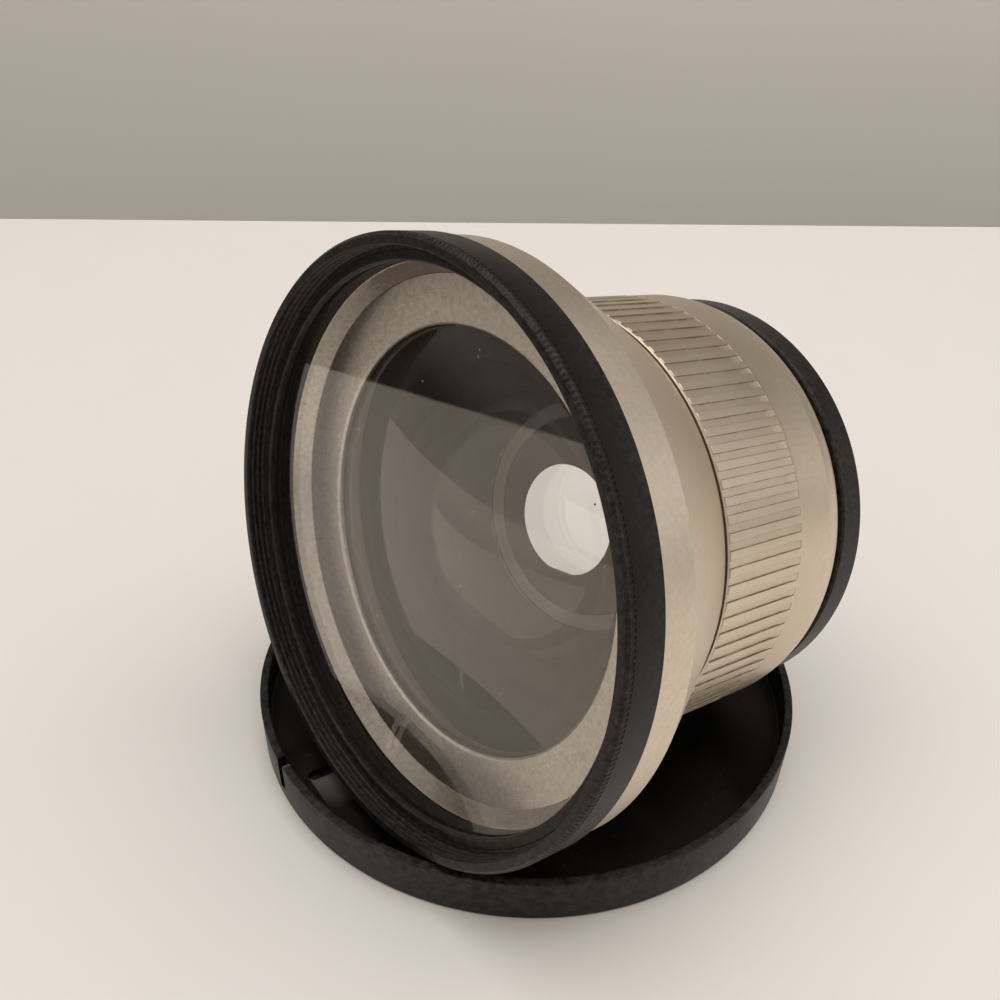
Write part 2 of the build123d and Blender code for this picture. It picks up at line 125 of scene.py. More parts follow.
def rounded(points, size, steps=3):
    """A closed section with small round corners, and how worn each point of it is. A corner
    that hardly turns or has too little room stays as it is."""
    straight = 0.12
    smallest = 0.008
    most = 0.45
    out, wear = [], []
    count = len(points)
    for i in range(count):
        before, here, after = (np.array(points[(i + k) % count], float) for k in (-1, 0, 1))
        back, on = before - here, after - here
        back_length, on_length = np.linalg.norm(back), np.linalg.norm(on)
        turn = abs(back[0] * on[1] - back[1] * on[0]) / (back_length * on_length)
        cut = min(size, most * back_length, most * on_length)
        if turn < straight or cut < smallest:
            out.append(here)
            wear.append(0.0)
            continue
        first, last = here + back / back_length * cut, here + on / on_length * cut
        for k in range(steps + 1):
            out.append(bend(first, here, last, k / steps))
            wear.append(1.0 if 0 < k < steps else 0.4)
    return np.array(out), np.array(wear)


def place(radii, angles, positions):
    """Points in metres in the row frame from cylinder coordinates about the lens's axis."""
    radial = np.multiply.outer(np.cos(angles), RIGHT) + np.multiply.outer(np.sin(angles), UP)
    return (FRONT + radial * radii[..., None] + positions[..., None] * BACK) * MM


def mesh_object(name, verts, faces, smooth=True):
    mesh = bpy.data.meshes.new(name)
    mesh.from_pydata([tuple(v) for v in verts], [], faces)
    mesh.update()
    obj = bpy.data.objects.new(name, mesh)
    scene.collection.objects.link(obj)
    if smooth:
        mesh.polygons.foreach_set("use_smooth", [True] * len(mesh.polygons))
    return obj


def face_outwards(mesh):
    bm = bmesh.new()
    bm.from_mesh(mesh)
    bmesh.ops.recalc_face_normals(bm, faces=bm.faces)
    bm.to_mesh(mesh)
    bm.free()


def mark(mesh, name, values):
    """Gives every vertex a number that a material can read."""
    mesh.attributes.new(name, "FLOAT", "POINT").data.foreach_set("value", values)


def turned(name, profile, corner, angles=None, cut=None, sharp=32, groove_shade_and_dirt=None, second=None):
    """A turned ring from a closed (radius, position) section, whose corners are rounded by
    corner. cut(point) gives how deep the teeth in angles = (angle, depth share) go at that
    point of the section. second(point) is true where the ring has its second material."""
    points, wear = rounded(profile, corner)
    if angles is None:
        turn = np.linspace(0, 2 * math.pi, RING_SEGMENTS, endpoint=False)
        share = np.zeros_like(turn)
    else:
        turn, share = angles
    depth = np.array([cut(p) if cut else 0.0 for p in points])
    radii = points[None, :, 0] - share[:, None] * depth[None, :]
    positions = np.broadcast_to(points[None, :, 1], radii.shape)
    angle = np.broadcast_to(turn[:, None], radii.shape)
    verts = place(radii, angle, positions).reshape(-1, 3)
    around, along = radii.shape
    r, z = points[:, 0], points[:, 1]
    area = np.dot(r, np.roll(z, -1)) - np.dot(z, np.roll(r, -1))
    faces, kinds = [], []
    for i in range(around):
        a, b = i * along, (i + 1) % around * along
        for j in range(along):
            k = (j + 1) % along
            face = (a + j, b + j, b + k, a + k)
            faces.append(face if area > 0 else (face[0], face[3], face[2], face[1]))
            kinds.append(int(second((points[j] + points[k]) / 2)) if second else 0)
    obj = mesh_object(name, verts, faces)
    obj.data.polygons.foreach_set("material_index", kinds)
    face_outwards(obj.data)
    mark(obj.data, "worn", np.tile(wear, around))
    # Painted shade, partly dirt: darkens the groove corners and floors of the cut faces.
    if groove_shade_and_dirt is not None:
        shade_and_dirt = np.tile(groove_shade_and_dirt, around // len(groove_shade_and_dirt))[:, None] * (depth > 0.0)[None, :]
        mark(obj.data, "groove_shade_and_dirt", shade_and_dirt.ravel())
    obj.data.set_sharp_from_angle(angle=math.radians(sharp))
    weighted = obj.modifiers.new("weighted", "WEIGHTED_NORMAL")
    weighted.keep_sharp = True
    return obj


def teeth(count, marks):
    """Angles and depth shares for a pattern of (share of the pitch, depth share) marks."""
    turn, share = [], []
    for i in range(count):
        for at, deep in marks:
            turn.append((i + at) / count * 2 * math.pi)
            share.append(deep)
    return np.array(turn), np.array(share)


def thread_turns(radius, start, end, depth):
    """Turns of a thread as section points, from start to end."""
    half_crest = 0.15
    step = math.copysign(THREAD_PITCH, end - start)
    points = []
    for turn in range(int(abs(end - start) / THREAD_PITCH)):
        crest = start + turn * step
        points.append((radius, crest + half_crest * step))
        points.append((radius + depth, crest + 0.5 * step))
        points.append((radius, crest + (1 - half_crest) * step))
    return points


# Glass, from strips of (radius, position, normal outwards, normal backwards) points
POLISHED, GROUND = 0, 1
FORWARD, BACKWARD = -1, 1


def flat(position, facing, *radii):
    return [(radius, position, 0.0, facing) for radius in radii]


def rim(radius, start, end):
    return [(radius, start, 1.0, 0.0), (radius, end, 1.0, 0.0)]


def bevel(first, last, facing):
    """A slope of 45 degrees between two (radius, position) points."""
    slant = 0.7
    return [(*first, slant, slant * facing), (*last, slant, slant * facing)]


def sag(curve, radius):
    """Depth of a spherical surface at a radius."""
    return curve - math.sqrt(curve ** 2 - radius ** 2)


def dome(vertex, curve, radius, facing, steps=72):
    """A spherical face that bulges forward, from its middle outwards."""
    points = []
    for k in range(steps + 1):
        r = radius * k / steps
        nr, nz = r / curve, (curve - sag(curve, r)) / curve
        points.append((r, vertex + sag(curve, r), -nr * facing, nz * facing))
    return points


def glass_body(name, strips):
    """A piece of glass from strips, each with the number of its material."""
    turn = np.linspace(0, 2 * math.pi, GLASS_SEGMENTS, endpoint=False)
    outwards = np.multiply.outer(np.cos(turn), RIGHT) + np.multiply.outer(np.sin(turn), UP)
    verts, normals, faces, kinds = [], [], [], []
    for strip, kind in strips:
        rows = []
        for radius, position, nr, nz in np.array(strip, float):
            pole = radius < 1e-9
            rows.append((len(verts), pole))
            if pole:
                verts.append(place(np.zeros(1), np.zeros(1), np.array([position]))[0])
                normals.append(BACK * nz)
                continue
            ring = np.full(GLASS_SEGMENTS, radius), turn, np.full(GLASS_SEGMENTS, position)
            verts.extend(place(*ring))
            normals.extend(outwards * nr + BACK * nz)
        for (a, a_pole), (b, b_pole) in zip(rows, rows[1:]):
            for i in range(GLASS_SEGMENTS):
                j = (i + 1) % GLASS_SEGMENTS
                near = (a,) if a_pole else (a + i, a + j)
                far = (b,) if b_pole else (b + j, b + i)
                faces.append(near + far)
                kinds.append(kind)
    obj = mesh_object(name, verts, faces)
    mesh = obj.data
    wanted = np.array(normals)
    flips = []
    for poly in mesh.polygons:
        mean = wanted[list(poly.vertices)].mean(axis=0)
        flips.append(float(np.dot(mean, poly.normal)) < 0)
    bm = bmesh.new()
    bm.from_mesh(mesh)
    bm.faces.ensure_lookup_table()
    for i, flip in enumerate(flips):
        if flip:
            bm.faces[i].normal_flip()
    bm.to_mesh(mesh)
    bm.free()
    mesh.polygons.foreach_set("material_index", kinds)
    mesh.normals_split_custom_set_from_vertices([tuple(v) for v in wanted])
    return obj


# Material nodes

def material(name):
    mat = bpy.data.materials.new(name)
    mat.use_nodes = True
    tree = mat.node_tree
    return mat, tree, tree.nodes["Principled BSDF"]


def feed(tree, value, socket):
    """Puts a number, a colour or what another node gives into a socket."""
    if isinstance(value, (int, float)):
        socket.default_value = value
    elif isinstance(value, tuple):
        socket.default_value = (*value, 1.0)
    else:
        tree.links.new(value, socket)


def maths(tree, operation, *values):
    made = tree.nodes.new("ShaderNodeMath")
    made.operation = operation
    for socket, value in zip(made.inputs, values):
        feed(tree, value, socket)
    return made.outputs[0]


def times(tree, a, b):
    return maths(tree, "MULTIPLY", a, b)


def plus(tree, a, b):
    return maths(tree, "ADD", a, b)


def combine(tree, *values):
    made = tree.nodes.new("ShaderNodeCombineXYZ")
    for socket, value in zip(made.inputs, values):
        feed(tree, value, socket)
    return made.outputs[0]


def mix(tree, factor, a, b):
    made = tree.nodes.new("ShaderNodeMix")
    made.data_type = "RGBA"
    for number, value in ((0, factor), (6, a), (7, b)):
        feed(tree, value, made.inputs[number])
    return made.outputs[2]


def object_place(tree):
    return tree.nodes.new("ShaderNodeTexCoord").outputs["Object"]


def place_in_mm(tree, origin):
    """The place of a point in mm from an origin."""
    shifted = tree.nodes.new("ShaderNodeVectorMath")
    shifted.operation = "SUBTRACT"
    tree.links.new(object_place(tree), shifted.inputs[0])
    shifted.inputs[1].default_value = tuple(origin * MM)
    scaled = tree.nodes.new("ShaderNodeVectorMath")
    scaled.operation = "SCALE"
    tree.links.new(shifted.outputs[0], scaled.inputs[0])
    scaled.inputs["Scale"].default_value = 1 / MM
    return scaled.outputs[0]


def along_way(tree, vector, way):
    """How far a vector goes along a direction."""
    made = tree.nodes.new("ShaderNodeVectorMath")
    made.operation = "DOT_PRODUCT"
    tree.links.new(vector, made.inputs[0])
    made.inputs[1].default_value = tuple(way)
    return made.outputs["Value"]


def attribute(tree, name):
    made = tree.nodes.new("ShaderNodeAttribute")
    made.attribute_name = name
    return made.outputs["Fac"]


def noise(tree, vector, scale, detail=4.0, roughness=0.6):
    made = tree.nodes.new("ShaderNodeTexNoise")
    for key, number in (("Scale", scale), ("Detail", detail), ("Roughness", roughness)):
        made.inputs[key].default_value = number
    tree.links.new(vector, made.inputs["Vector"])
    return made.outputs["Fac"]


def ramp(tree, value, low, high, start=0.0, end=1.0):
    made = tree.nodes.new("ShaderNodeMapRange")
    made.clamp = True
    tree.links.new(value, made.inputs["Value"])
    for key, number in (("From Min", low), ("From Max", high), ("To Min", start), ("To Max", end)):
        made.inputs[key].default_value = number
    return made.outputs["Result"]


def clusters(tree, vector, speck_scale, speck_range, cluster_scale, cluster_range):
    """Small specks that lie in groups."""
    specks = ramp(tree, noise(tree, vector, speck_scale, 2.0, 0.5), *speck_range)
    groups = ramp(tree, noise(tree, vector, cluster_scale, 2.0, 0.5), *cluster_range)
    return times(tree, specks, groups)


def bump(tree, shader, height, strength, distance):
    made = tree.nodes.new("ShaderNodeBump")
    made.inputs["Strength"].default_value = strength
    made.inputs["Distance"].default_value = distance
    tree.links.new(height, made.inputs["Height"])
    tree.links.new(made.outputs[0], shader.inputs["Normal"])


# Materials

def turned_metal(name, colour, dark, rough, metallic=1.0, edge=None, lines=0.5, dust=0.25,
                 dust_colour=(0.55, 0.52, 0.47), relief=0.1, gloss=0.5, groove_shade_and_dirt=None, spread=1.0):
    """Turned and anodised metal: fine tool lines round the axis, cloudy tone, worn edges, dust."""
    line_scale, line_wander, line_shade = 9.0, 0.03, 0.72
    cloud_scale, grain_scale, chip_scale, groove_shade_scale = 0.09, 6.0, 1.4, 0.5
    speck_scale, speck_group_scale = 3.1, 0.25
    relief_height = 0.00002
    mat, tree, shader = material(name)
    v = place_in_mm(tree, FRONT)
    along, across, upwards = (along_way(tree, v, way) for way in (BACK, RIGHT, UP))
    radius = maths(tree, "SQRT", plus(tree, times(tree, across, across), times(tree, upwards, upwards)))
    rings = combine(tree, times(tree, radius, line_scale), times(tree, along, line_scale),
                    times(tree, across, line_wander))
    tool = noise(tree, rings, 1.0, 3.0)
    cloud = noise(tree, v, cloud_scale)
    grain = noise(tree, v, grain_scale, 3.0)
    tone = mix(tree, ramp(tree, cloud, 0.3, 0.72), colour, dark)
    line_tone = tuple(line_shade * c for c in colour)
    tone = mix(tree, ramp(tree, tool, 0.35, 0.7, 0.0, 0.3 * lines), tone, line_tone)
    if edge is not None:
        chips = ramp(tree, noise(tree, v, chip_scale, 4.0, 0.7), 0.36, 0.62)
        tone = mix(tree, times(tree, attribute(tree, "worn"), chips), tone, edge)
    specks = clusters(tree, v, speck_scale, (0.705, 0.74), speck_group_scale, (0.4, 0.65))
    dusty = times(tree, specks, dust)
    tone = mix(tree, dusty, tone, dust_colour)
    # Painted shade, partly dirt, in patches over the groove corners and floors
    if groove_shade_and_dirt is not None:
        patchy = ramp(tree, noise(tree, v, groove_shade_scale, 4.0, 0.65), 0.3, 0.6, 0.35, 1.0)
        tone = mix(tree, times(tree, attribute(tree, "groove_shade_and_dirt"), patchy), tone, groove_shade_and_dirt)
    tree.links.new(tone, shader.inputs["Base Color"])
    cloud_rough = ramp(tree, cloud, 0.3, 0.7, rough - 0.03 * spread, rough + 0.05 * spread)
    line_rough = ramp(tree, tool, 0.3, 0.7, -0.04 * lines, 0.05 * lines)
    whole_rough = plus(tree, plus(tree, cloud_rough, line_rough), dusty)
    tree.links.new(whole_rough, shader.inputs["Roughness"])
    shader.inputs["Specular IOR Level"].default_value = gloss
    shader.inputs["Metallic"].default_value = metallic
    height = plus(tree, times(tree, tool, lines), times(tree, grain, 0.2))
    bump(tree, shader, height, relief, relief_height)
    return mat


champagne = turned_metal(
    "champagne_anodised_metal", (0.70, 0.60, 0.475), (0.67, 0.57, 0.445), 0.38,
    edge=(0.80, 0.74, 0.65), lines=0.3, dust=0.3, dust_colour=(0.30, 0.25, 0.2), relief=0.05,
    spread=0.5)
champagne_grip = turned_metal(
    "champagne_ribbed_metal", (0.695, 0.59, 0.46), (0.66, 0.555, 0.43), 0.38,
    edge=(0.78, 0.71, 0.61), lines=0.15, dust=0.4, dust_colour=(0.22, 0.18, 0.14), relief=0.05,
    groove_shade_and_dirt=(0.17, 0.125, 0.085))
# A darker copy of the champagne metal, as painted shade: the bell's mouth and the glass retainer take it.
champagne_painted_shade = turned_metal(
    "champagne_mouth_metal_painted_shade", (0.47, 0.405, 0.325), (0.455, 0.39, 0.31), 0.28,
    edge=(0.80, 0.75, 0.68), lines=0.15, dust=0.3, dust_colour=(0.35, 0.32, 0.28), relief=0.004,
    spread=0.3)
# Bare metal for the retainer's bevel, made brighter as a painted highlight.
bare_metal_with_highlight = turned_metal(
    "bare_bevel_metal_with_highlight", (0.62, 0.57, 0.49), (0.57, 0.52, 0.445), 0.4,
    edge=(0.85, 0.82, 0.76), lines=0.2, relief=0.03)
black_metal = turned_metal(
    "black_anodised_metal", (0.0050, 0.0045, 0.0042), (0.0065, 0.006, 0.0054), 0.36, metallic=0.0,
    edge=(0.055, 0.05, 0.045), lines=0.3, dust=0.3, dust_colour=(0.13, 0.12, 0.11), gloss=0.19)
dark_metal = turned_metal(
    "dark_anodised_metal", (0.03, 0.026, 0.022), (0.022, 0.019, 0.016), 0.45, metallic=0.4,
    lines=0.3)
baffle_metal = turned_metal(
    "matt_baffle_paint", (0.019, 0.016, 0.0137), (0.016, 0.0135, 0.0115), 0.8, metallic=0.0,
    lines=0.1, dust=0.03, dust_colour=(0.1, 0.09, 0.08), relief=0.004, gloss=0.2)
pale_ring_metal = turned_metal(
    "pale_anodised_metal", (0.62, 0.55, 0.46), (0.57, 0.50, 0.415), 0.55, metallic=0.3,
    edge=(0.55, 0.5, 0.43), lines=0.2, relief=0.01)
nylon = turned_metal(
    "black_nylon_plastic", (0.02, 0.02, 0.02), (0.03, 0.03, 0.03), 0.55, metallic=0.0, lines=0.1)
ground_edge = turned_metal(
    "ground_glass_edge", (0.019, 0.0165, 0.014), (0.0155, 0.0135, 0.0115), 0.85, metallic=0.0,
    lines=0.1, relief=0.0, gloss=0.15)


def glass_material(name, ior, tint, speck_scale, speck_amount, shine=0.5, sheen=(1.0, 1.0, 1.0)):
    """Clear glass with a few dust specks and a thin soiled film in its roughness."""
    dark_speck, pale_speck = (0.04, 0.035, 0.03), (0.6, 0.56, 0.5)
    smallest_speck, largest_speck = 0.02, 0.09
    speck_rough = 0.6
    film_rough = 0.003
    film_scale, smear_scales = 0.12, (0.6, 0.25)
    smear_strength, smear_height = 0.01, 0.000001
    mat, tree, shader = material(name)
    v = place_in_mm(tree, FRONT)
    cells = tree.nodes.new("ShaderNodeTexVoronoi")
    cells.feature = "F1"
    cells.inputs["Scale"].default_value = speck_scale
    cells.inputs["Randomness"].default_value = 1.0
    tree.links.new(v, cells.inputs["Vector"])
    pick = tree.nodes.new("ShaderNodeSeparateColor")
    tree.links.new(cells.outputs["Color"], pick.inputs[0])
    size = ramp(tree, pick.outputs[0], 0.0, 1.0, smallest_speck, largest_speck)
    inside = maths(tree, "LESS_THAN", cells.outputs["Distance"], size)
    chosen = maths(tree, "GREATER_THAN", pick.outputs[1], 1.0 - speck_amount)
    speck = times(tree, inside, chosen)
    speck_tone = mix(tree, pick.outputs[2], dark_speck, pale_speck)
    tree.links.new(mix(tree, speck, tint, speck_tone), shader.inputs["Base Color"])
    tree.links.new(maths(tree, "SUBTRACT", 1.0, speck), shader.inputs["Transmission Weight"])
    film = ramp(tree, noise(tree, v, film_scale, 3.0, 0.5), 0.45, 0.8, 0.0, film_rough)
    rough = plus(tree, film, times(tree, speck, speck_rough))
    tree.links.new(rough, shader.inputs["Roughness"])
    shader.inputs["IOR"].default_value = ior
    shader.inputs["Specular IOR Level"].default_value = shine
    shader.inputs["Specular Tint"].default_value = (*sheen, 1.0)
    across, upwards = along_way(tree, v, RIGHT), along_way(tree, v, UP)
    wiped = combine(tree, times(tree, across, smear_scales[0]), times(tree, upwards, smear_scales[1]), 0.0)
    bump(tree, shader, noise(tree, wiped, 1.0, 3.0), smear_strength, smear_height)
    return mat


filter_glass = glass_material(
    "flat_filter_glass", 1.5, (0.985, 0.975, 0.96), 0.55, 0.16, 0.20, (1.0, 0.86, 0.72))
lens_glass = glass_material(
    "polished_lens_glass", 1.6, (0.98, 0.975, 0.965), 0.45, 0.12, 0.02, (1.0, 0.9, 0.8))
dense_glass = glass_material("polished_dense_glass", 1.95, (1.0, 0.995, 0.985), 0.4, 0.05, 0.1)
light_glass = glass_material("polished_light_glass", 1.42, (1.0, 0.995, 0.985), 0.4, 0.05, 0.1)


def cap_plastic():
    """Moulded black plastic: worn glossy patches, fine scratches, a greyed rim, some dust and a painted
    highlight along one side of the groove.
    """
    black, dark_grey = (0.0022, 0.0019, 0.0017), (0.0040, 0.0036, 0.0032)
    worn_tone, lip_highlight_tone = (0.035, 0.031, 0.028), (0.10, 0.095, 0.085)
    dust_tone, dust = (0.22, 0.2, 0.18), 0.35
    cloud_scale, fine_scale, chip_scale = 0.12, 5.0, 0.9
    speck_scale, speck_group_scale = 2.4, 0.2
    scratch_scales, cross_scratch_scales = (0.12, 5.0), (4.0, 0.2)
    gloss = 0.22
    relief, relief_height = 0.2, 0.00004
    mat, tree, shader = material("worn_black_plastic")
    v = place_in_mm(tree, np.zeros(3))
    x, y, z = (along_way(tree, v, way) for way in np.identity(3))
    cloud = noise(tree, v, cloud_scale, 5.0, 0.62)
    fine = noise(tree, v, fine_scale, 4.0, 0.65)
    scratches = []
    for scales, low, high in ((scratch_scales, 0.62, 0.72), (cross_scratch_scales, 0.64, 0.74)):
        drawn_out = combine(tree, times(tree, x, scales[0]), times(tree, y, scales[1]), z)
        scratches.append(ramp(tree, noise(tree, drawn_out, 1.0, 3.0), low, high))
    scratch = plus(tree, *scratches)
    worn = attribute(tree, "worn")
    tone = mix(tree, ramp(tree, cloud, 0.35, 0.7), black, dark_grey)
    chips = ramp(tree, noise(tree, v, chip_scale, 5.0, 0.7), 0.4, 0.66)
    tone = mix(tree, times(tree, worn, chips), tone, worn_tone)
    # Painted highlight along the lit side of the groove and of the gap
    tone = mix(tree, ramp(tree, attribute(tree, "lip_highlight"), 0.6, 0.95), tone, lip_highlight_tone)
    specks = clusters(tree, v, speck_scale, (0.69, 0.73), speck_group_scale, (0.42, 0.62))
    tone = mix(tree, times(tree, specks, dust), tone, dust_tone)
    tree.links.new(tone, shader.inputs["Base Color"])
    rough = plus(tree, ramp(tree, cloud, 0.3, 0.7, 0.26, 0.42), ramp(tree, fine, 0.3, 0.7, -0.04, 0.06))
    rough = plus(tree, rough, times(tree, scratch, 0.12))
    rough = plus(tree, rough, times(tree, worn, 0.1))
    tree.links.new(rough, shader.inputs["Roughness"])
    shader.inputs["Specular IOR Level"].default_value = gloss
    height = plus(tree, times(tree, fine, 0.7), times(tree, scratch, -0.5))
    bump(tree, shader, plus(tree, height, cloud), relief, relief_height)
    return mat


cap_black = cap_plastic()


def dress(obj, *mats):
    kinds = [min(face.material_index, len(mats) - 1) for face in obj.data.polygons]
    obj.data.materials.clear()
    for mat in mats:
        obj.data.materials.append(mat)
    obj.data.polygons.foreach_set("material_index", kinds)


def stand_for(obj, node_name, body, slot_name, *mats):
    dress(obj, *mats)
    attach(obj, body)
    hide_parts(node_name)
    return obj


# Filter

def filter_ring():
    """Knurled round its front edge, with a female thread in front and a male one behind."""
    edge_break = 0.1
    body_length = 5.25
    knurl_end, knurl_step, knurl_depth = 1.05, 0.01, 0.07
    male_radius, male_end, male_chamfer = FILTER_THREAD - THREAD_GAP, 7.35, 0.25
    bore = 34.35
    seat = PLATE_REAR + SEAT_GAP
    outer = [
        (FILTER_THREAD + edge_break, 0.0),
        (FILTER_RADIUS - FILTER_CHAMFER, 0.0),
        (FILTER_RADIUS, FILTER_CHAMFER),
        (FILTER_RADIUS, knurl_end - knurl_step),
        (FILTER_RADIUS, knurl_end + knurl_step),
        (FILTER_RADIUS, body_length - edge_break),
        (FILTER_RADIUS - edge_break, body_length),
        (male_radius, body_length),
        (male_radius, male_end - male_chamfer),
        (male_radius - male_chamfer, male_end),
    ]
    inner = [
        (bore, male_end),
        (bore, seat),
        (PLATE_RADIUS + SEAT_GAP, seat),
        (PLATE_RADIUS + SEAT_GAP, PLATE_FRONT),
        (RETAINER_RADIUS + SEAT_GAP, PLATE_FRONT),
        (RETAINER_RADIUS + SEAT_GAP, FILTER_THREAD_END),
        (FILTER_THREAD, FILTER_THREAD_END),
    ]
    turns = thread_turns(FILTER_THREAD, FILTER_THREAD_END, 0.0, THREAD_DEPTH)
    knurl_count = 360
    knurl = teeth(knurl_count, [(-0.30, 1.0), (-0.18, 0.0), (0.18, 0.0), (0.30, 1.0)])

    def cut(point):
        knurled = point[0] > FILTER_RADIUS - edge_break and point[1] < knurl_end
        return knurl_depth if knurled else 0.0

    return turned("filter_ring", outer + inner + turns, corner=0.06, angles=knurl, cut=cut)


def filter_retainer():
    bore, bevel_width = 34.2, 0.2
    rear = PLATE_FRONT - SEAT_GAP
    return turned("filter_retainer", [
        (RETAINER_RADIUS, FILTER_THREAD_END),
        (RETAINER_RADIUS, rear),
        (bore, rear),
        (bore, FILTER_THREAD_END + bevel_width),
        (bore + bevel_width, FILTER_THREAD_END),
    ], corner=0.05)


def filter_plate():
    bevel_width = 0.2
    middle = 17.0
    face = PLATE_RADIUS - bevel_width
    edge_start, edge_end = PLATE_FRONT + bevel_width, PLATE_REAR - bevel_width
    return glass_body("filter_plate", [
        (flat(PLATE_FRONT, FORWARD, 0.0, middle, face), POLISHED),
        (bevel((face, PLATE_FRONT), (PLATE_RADIUS, edge_start), FORWARD), GROUND),
        (rim(PLATE_RADIUS, edge_start, edge_end), GROUND),
        (bevel((PLATE_RADIUS, edge_end), (face, PLATE_REAR), BACKWARD), GROUND),
        (flat(PLATE_REAR, BACKWARD, face, middle, 0.0), POLISHED),
    ])


stand_for(filter_ring(), "uv_filter_ring", "uv_filter", "black_anodised", black_metal)
stand_for(filter_retainer(), "uv_filter_retainer", "uv_filter", "black_anodised", black_metal)
plate = stand_for(filter_plate(), "uv_filter_glass", "uv_filter", "filter_glass",
                  filter_glass, ground_edge)


# Bell

def bell_shell():
    """Flared outside, with a funnel in front of the glass and a thread ring's bore behind it."""
    edge_break = 0.15
    front, rear = 5.3, 25.148
    rear_radius, lip_length, lip_drop = 29.36, 0.85, 0.5
    slope_end = rear - lip_length
    shoulder, funnel_front_radius, funnel_rear = 7.6, 34.4, 9.67
    pocket_radius, pocket_rear = RING_RADIUS + SEAT_GAP, RING_REAR + SEAT_GAP
    glass_bore = FRONT_GLASS_RADIUS + SEAT_GAP
    join_bore = JOIN_THREAD + THREAD_GAP
    outer = [
        (FILTER_THREAD + edge_break, front),
        (BELL_RADIUS - edge_break, front),
        (BELL_RADIUS, front + edge_break),
        (BELL_RADIUS, CREASE),
        (rear_radius, slope_end),
        (rear_radius - lip_drop, rear),
        (join_bore, rear),
    ]
    inner = [
        (join_bore, WEB_REAR),
        (WEB_BORE, WEB_REAR),
        (WEB_BORE, WEB_FRONT),
        (glass_bore, WEB_FRONT),
        (glass_bore, pocket_rear),
        (pocket_radius, pocket_rear),
        (pocket_radius, funnel_rear),
        (funnel_front_radius, shoulder),
        (FILTER_THREAD, shoulder),
        (FILTER_THREAD, front + edge_break),
    ]
    slope = (BELL_RADIUS - rear_radius) / (slope_end - CREASE)
    mouth_radius, mouth_end = 36.05, 19.0

    # The mouth takes the darker copy of the champagne metal, as painted shade.
    def in_mouth(point):
        radius, position = point
        under_slope = FILTER_THREAD - slope * (position - CREASE)
        return radius < min(mouth_radius, under_slope) and position < mouth_end

    return turned("bell_shell", outer + inner, corner=0.09, second=in_mouth)


def glass_retainer():
    """A flat cone in front of the glass, with a bare bevel round its opening that also carries a painted
    highlight.
    """
    bore, bore_rear = 26.82, 11.27
    nose, bevel_width = 10.51, 0.28
    foot_radius, foot_front = 30.7, 12.177
    land_radius, land_front = 29.8, 12.077
    bare_radius, bare_end = 27.11, 10.82
    return turned("glass_retainer", [
        (RING_RADIUS, RING_FRONT),
        (RING_RADIUS, RING_REAR),
        (foot_radius, RING_REAR),
        (foot_radius, foot_front),
        (land_radius, land_front),
        (bore, bore_rear),
        (bore, nose + bevel_width),
        (bore + bevel_width, nose),
    ], corner=0.04, second=lambda point: point[0] < bare_radius and point[1] < bare_end)


def front_glass():
    front_vertex, front_curve = 8.2, 110.0
    rear_vertex, rear_curve, rear_radius = 11.2, 35.0, 21.8
    bevel_width = 0.3
    middle = 26.0
    edge_start = front_vertex + sag(front_curve, FRONT_GLASS_RADIUS)
    rear = rear_vertex + sag(rear_curve, rear_radius)
    edge_end = rear - bevel_width
    face = FRONT_GLASS_RADIUS - bevel_width
    return glass_body("front_glass", [
        (dome(front_vertex, front_curve, FRONT_GLASS_RADIUS, FORWARD), POLISHED),
        (rim(FRONT_GLASS_RADIUS, edge_start, edge_end), GROUND),
        (bevel((FRONT_GLASS_RADIUS, edge_end), (face, rear), BACKWARD), GROUND),
        (flat(rear, BACKWARD, face, middle, rear_radius), GROUND),
        (dome(rear_vertex, rear_curve, rear_radius, BACKWARD)[::-1], POLISHED),
    ])


def joint_ring():
    front = WEB_REAR + SEAT_GAP
    return turned("joint_ring", [
        (WEB_BORE, front),
        (JOIN_THREAD - THREAD_LEAD, front),
        (JOIN_THREAD, front + THREAD_LEAD),
        (JOIN_THREAD, JOIN_END - THREAD_LEAD),
        (JOIN_THREAD - THREAD_LEAD, JOIN_END),
        (WEB_BORE, JOIN_END),
    ], corner=0.08)


def front_wall():
    """A thin cone with a flange at each end."""
    front, rear = 18.898, JOIN_END - SEAT_GAP
    front_radius = 22.4
    outer = WEB_BORE - SEAT_GAP
    return turned("dark_wall_front", [
        (front_radius, front),
        (outer, front),
        (outer, front + BAFFLE_FLANGE),
        (front_radius + BAFFLE_WALL, front + BAFFLE_FLANGE),
        (BAFFLE_MIDDLE_RADIUS + BAFFLE_WALL, rear - BAFFLE_FLANGE),
        (outer, rear - BAFFLE_FLANGE),
        (outer, rear),
        (BAFFLE_MIDDLE_RADIUS, rear),
    ], corner=0.05)


stand_for(bell_shell(), "front_bell", "front_section", "champagne_anodised",
          champagne, champagne_painted_shade)
stand_for(glass_retainer(), "front_retainer", "front_section", "champagne_anodised",
          champagne_painted_shade, bare_metal_with_highlight)
big = stand_for(front_glass(), "front_element", "front_section", "optical_glass",
                lens_glass, ground_edge)
stand_for(joint_ring(), "join_ring", "front_section", "dark_anodised", dark_metal)
stand_for(front_wall(), "front_baffle", "front_section", "baffle_paint", baffle_metal)


# Barrel

